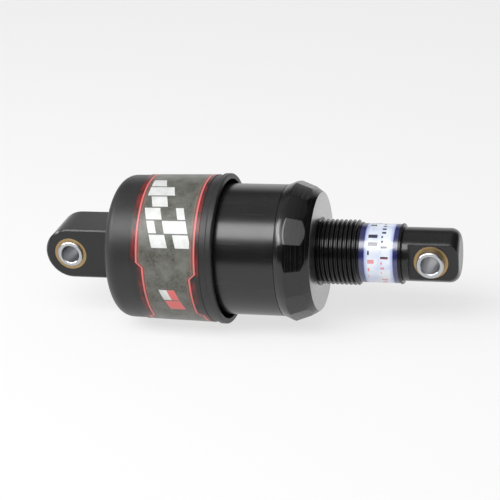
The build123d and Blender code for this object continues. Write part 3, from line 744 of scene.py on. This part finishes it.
def makeRing():
    bm = bmesh.new()
    bore = thread["crest"] + 2 * ring["clearance"]      # beyond the thread's own skin
    leadIn = ring["hubChamfer"]
    threadStart, threadStop = ringLow.x + leadIn, ringHigh.x - leadIn
    outer = ring["corner"] + ring["spare"]
    front = ringHigh.x - ring["length"]
    crown = front + ring["frontChamfer"]
    frontSlope = (ring["corner"] - ring["frontRadius"]) / ring["frontChamfer"]
    rearSlope = math.tan(math.radians(ring["rearAngle"]))
    turnOutline(bm, [
        (threadStart, bore), (ringLow.x, bore + leadIn), (ringLow.x, ring["hubRadius"] - leadIn),
        (ringLow.x + leadIn, ring["hubRadius"]), (front, ring["hubRadius"]), (front, ring["frontRadius"]),
        (front + (outer - ring["frontRadius"]) / frontSlope, outer),
        (ringHigh.x - (outer - ring["rearRadius"]) / rearSlope, outer),
        (ringHigh.x, ring["rearRadius"]), (ringHigh.x, bore + leadIn), (threadStop, bore),
    ], ring["steps"])
    flat = ring["corner"] * math.cos(math.pi / ring["sides"])
    lean = math.radians(ring["taper"])
    for side in range(ring["sides"]):
        angle = math.radians(ring["turn"] + (side + 0.5) * 360 / ring["sides"])
        facing = Vector((0, math.cos(angle), math.sin(angle)))
        leant = facing * math.cos(lean) + Vector((math.sin(lean), 0, 0))
        cut = bmesh.ops.bisect_plane(bm, geom=bm.verts[:] + bm.edges[:] + bm.faces[:], dist=0.001 * mm,
                                     plane_co=facing * flat + Vector((crown, 0, 0)), plane_no=leant,
                                     clear_outer=True)
        rim = [part for part in cut["geom_cut"] if isinstance(part, bmesh.types.BMEdge)]
        bmesh.ops.edgeloop_fill(bm, edges=rim)
    bmesh.ops.dissolve_degenerate(bm, edges=bm.edges, dist=0.05 * mm)
    sharpest = math.radians(ring["edgeAngle"])
    sharp = [edge for edge in bm.edges if edge.is_manifold and edge.calc_face_angle(0.0) > sharpest]
    bmesh.ops.bevel(bm, geom=sharp, offset=ring["edge"], offset_type="OFFSET", segments=2, profile=0.5,
                    affect="EDGES", clamp_overlap=True, material=-1)
    inside = bmesh.new()
    threadSkin(inside, thread, threadStart, threadStop, ring["clearance"])
    held = bpy.data.meshes.new("heldThread")
    inside.to_mesh(held)
    inside.free()
    bm.from_mesh(held)
    bpy.data.meshes.remove(held)
    closeFlat(bm, threadStart)
    closeFlat(bm, threadStop)
    setDown(bm, "turned_preload_ring", "preload_ring", "black_ring", ["preload_nut"])


makeRing()

# coil spring, wound with closed ends that are ground flat
springLow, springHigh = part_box("coil_spring")
spring = {
    "wire": 7.0 * mm,
    "outside": 26.0 * mm,
    "active": 3.5,
    "closedPitch": 7.15 * mm,
    "ground": 1.75 * mm,        # of the wire taken off at each end
    "stroke": 25.0 * mm,
    "steps": 48,                # to a turn
    "sides": 20,
}


def makeSpring():
    bm = bmesh.new()
    middle = spring["outside"] - spring["wire"] / 2
    start = springLow.x - spring["ground"]
    atStart = Matrix.Translation((start, -middle, 0))
    made = bmesh.ops.create_circle(bm, radius=spring["wire"] / 2, segments=spring["sides"], matrix=atStart)
    section = made["verts"]
    length = springHigh.x - springLow.x + 2 * spring["ground"]
    activePitch = (length - 2 * spring["closedPitch"]) / spring["active"]
    geom = section + list({edge for vert in section for edge in vert.link_edges})
    closedEnd = (1, spring["closedPitch"])
    for turns, pitch in (closedEnd, (spring["active"], activePitch), closedEnd):
        steps = round(turns * spring["steps"])
        swept = bmesh.ops.spin(bm, geom=geom, cent=(0, 0, 0), axis=(1, 0, 0), angle=math.tau * turns,
                               dvec=(pitch / spring["steps"], 0, 0), steps=steps)
        geom = swept["geom_last"]
    bmesh.ops.remove_doubles(bm, verts=bm.verts, dist=0.001 * mm)
    trimEnds(bm, springLow.x, springHigh.x)
    bmesh.ops.holes_fill(bm, edges=[edge for edge in bm.edges if edge.is_boundary], sides=0)
    piece = setDown(bm, "wound_spring", "shaft", "spring_paint", ["coil_spring"], 50.0)
    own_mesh(piece)


makeSpring()

# finishes for the parts that keep their own shape
for row in frame["record"]["subparts"]:
    node = frame["nodes"][row["node"]]
    for slot in node.material_slots:
        slot.material = finishes[row["material_slot"]]
print("finishes laid on", len(frame["nodes"]), "parts")

# camera
shot = {
    "azimuth": 18.81,
    "elevation": 23.8,
    "roll": -6.08,
    "distance": 0.70936,
    "target": Vector((-0.11519, 0, 0.00026)),
    "aim": Vector((-0.0830, 0, -0.0005)),
    "lens": 112.0,
}


def makeCamera():
    turn, rise, roll = (math.radians(shot[name]) for name in ("azimuth", "elevation", "roll"))
    back = Vector((math.sin(turn) * math.cos(rise), -math.cos(turn) * math.cos(rise), math.sin(rise)))
    place = shot["target"] + back * shot["distance"]
    level = Vector((math.cos(turn), math.sin(turn), 0))
    up = level.cross(-back)
    leanUp = up * math.cos(roll) - level * math.sin(roll)
    look = (shot["aim"] - place).normalized()
    right = look.cross(leanUp).normalized()
    top = right.cross(look)
    data = bpy.data.cameras.new("camera")
    data.lens = shot["lens"]
    data.sensor_width = 36.0
    data.clip_start, data.clip_end = 0.01, 50.0
    camera = bpy.data.objects.new("camera", data)
    axes = Matrix((right, top, -look)).transposed()
    camera.matrix_world = Matrix.Translation(place) @ axes.to_4x4()
    bpy.context.scene.collection.objects.link(camera)
    bpy.context.scene.camera = camera


makeCamera()

# floor, backdrop colour and studio light
stage = {
    "middle": Vector((-0.08, 0, 0)),
    "size": 8.0,
    "drop": 0.05 * mm,
    "paleFloor": 0.8,
    "white": 0.7,                   # share of plain white that the camera and gloss see on the floor
    "cameraWorld": 1.0,
    "lightWorld": 0.27,
    "nearRoom": 0.04,               # what gloss mirrors of the room on the camera's side
    "ceilingFrom": (-0.5, 0.0),     # where the next tone takes over, along Y of the direction
    "ceiling": 0.36,
    "dimFrom": (0.5, 0.72),
    "dimRoom": 0.1,
    "farFrom": (0.8, 0.92),
    "farRoom": 1.0,
    "rightFrom": (0.2, 0.45),       # along X of the direction
    "darkRight": 0.15,              # share of all these tones that is left to the right
}
softBoxes = {
    "keySoftBox": {"from": (-0.295, -0.548, 0.783), "distance": 0.9, "size": (0.9, 0.42), "brightness": 6.4},
    "rightSoftBox": {"from": (0.40, -0.52, 0.75), "distance": 1.2, "size": (0.5, 0.6), "brightness": 1.5},
    "leftSoftBox": {"from": (-0.854, -0.192, 0.484), "distance": 1.2, "size": (0.2, 0.6), "brightness": 12.0},
}


def makeFloor():
    bm = bmesh.new()
    under = Matrix.Translation((stage["middle"].x, 0, cadBox[0].z - stage["drop"]))
    bmesh.ops.create_grid(bm, x_segments=4, y_segments=4, size=stage["size"] / 2, matrix=under)
    mesh = bpy.data.meshes.new("floor")
    bm.to_mesh(mesh)
    bm.free()
    floor = bpy.data.objects.new("floor", mesh)
    bpy.context.scene.collection.objects.link(floor)
    material = bpy.data.materials.new("paleFloor")
    material.use_nodes = True
    tree = material.node_tree
    shader = tree.nodes["Principled BSDF"]
    shader.inputs["Base Color"].default_value = grey(stage["paleFloor"])
    shader.inputs["Roughness"].default_value = 0.9
    shader.inputs["Specular IOR Level"].default_value = 0.0
    rays = addNode(tree, "ShaderNodeLightPath").outputs
    mirrored = calc(tree, "MAXIMUM", rays["Is Glossy Ray"], rays["Is Transmission Ray"])
    seen = calc(tree, "MAXIMUM", rays["Is Camera Ray"], mirrored)
    white = addNode(tree, "ShaderNodeEmission", {"Color": grey(1.0), "Strength": 1.0}).outputs[0]
    share = calc(tree, "MULTIPLY", seen, stage["white"])
    mixed = addNode(tree, "ShaderNodeMixShader", {0: share, 1: shader.outputs[0], 2: white}).outputs[0]
    plug(tree, tree.nodes["Material Output"].inputs["Surface"], mixed)
    mesh.materials.append(material)


# the camera sees plain white, the light is even all round, and gloss mirrors a softly graded room
def makeWorld():
    world = bpy.data.worlds.new("studio")
    world.use_nodes = True
    tree = world.node_tree
    rays = addNode(tree, "ShaderNodeLightPath").outputs
    direction = addNode(tree, "ShaderNodeTexCoord").outputs["Generated"]
    parts = addNode(tree, "ShaderNodeSeparateXYZ", {0: direction}).outputs
    gloss = mixValue(tree, fade(tree, parts[1], *stage["ceilingFrom"]), stage["nearRoom"], stage["ceiling"])
    gloss = mixValue(tree, fade(tree, parts[1], *stage["dimFrom"]), gloss, stage["dimRoom"])
    gloss = mixValue(tree, fade(tree, parts[1], *stage["farFrom"]), gloss, stage["farRoom"])
    toRight = fade(tree, parts[0], *stage["rightFrom"])
    gloss = calc(tree, "MULTIPLY", gloss, mixValue(tree, toRight, 1.0, stage["darkRight"]))
    strength = mixValue(tree, rays["Is Glossy Ray"], stage["lightWorld"], gloss)
    strength = mixValue(tree, rays["Is Camera Ray"], strength, stage["cameraWorld"])
    plug(tree, tree.nodes["Background"].inputs["Color"], grey(1.0))
    plug(tree, tree.nodes["Background"].inputs["Strength"], strength)
    bpy.context.scene.world = world


# a soft box that faces a point on the covers
def addSoftBox(name, box):
    data = bpy.data.lights.new(name, "AREA")
    data.shape = "RECTANGLE"
    data.size, data.size_y = box["size"]
    data.energy = box["brightness"] * math.pi * data.size * data.size_y
    lamp = bpy.data.objects.new(name, data)
    away = Vector(box["from"]).normalized()
    across = Vector((1, 0, 0)) - away * away.x
    across.normalize()
    axes = Matrix((across, away.cross(across), away)).transposed()
    lamp.matrix_world = Matrix.Translation(stage["middle"] + away * box["distance"]) @ axes.to_4x4()
    bpy.context.scene.collection.objects.link(lamp)


makeFloor()
makeWorld()
for name, box in softBoxes.items():
    addSoftBox(name, box)
bpy.context.scene.view_settings.view_transform = "Standard"
print("camera, floor, world and", len(softBoxes), "soft boxes set")
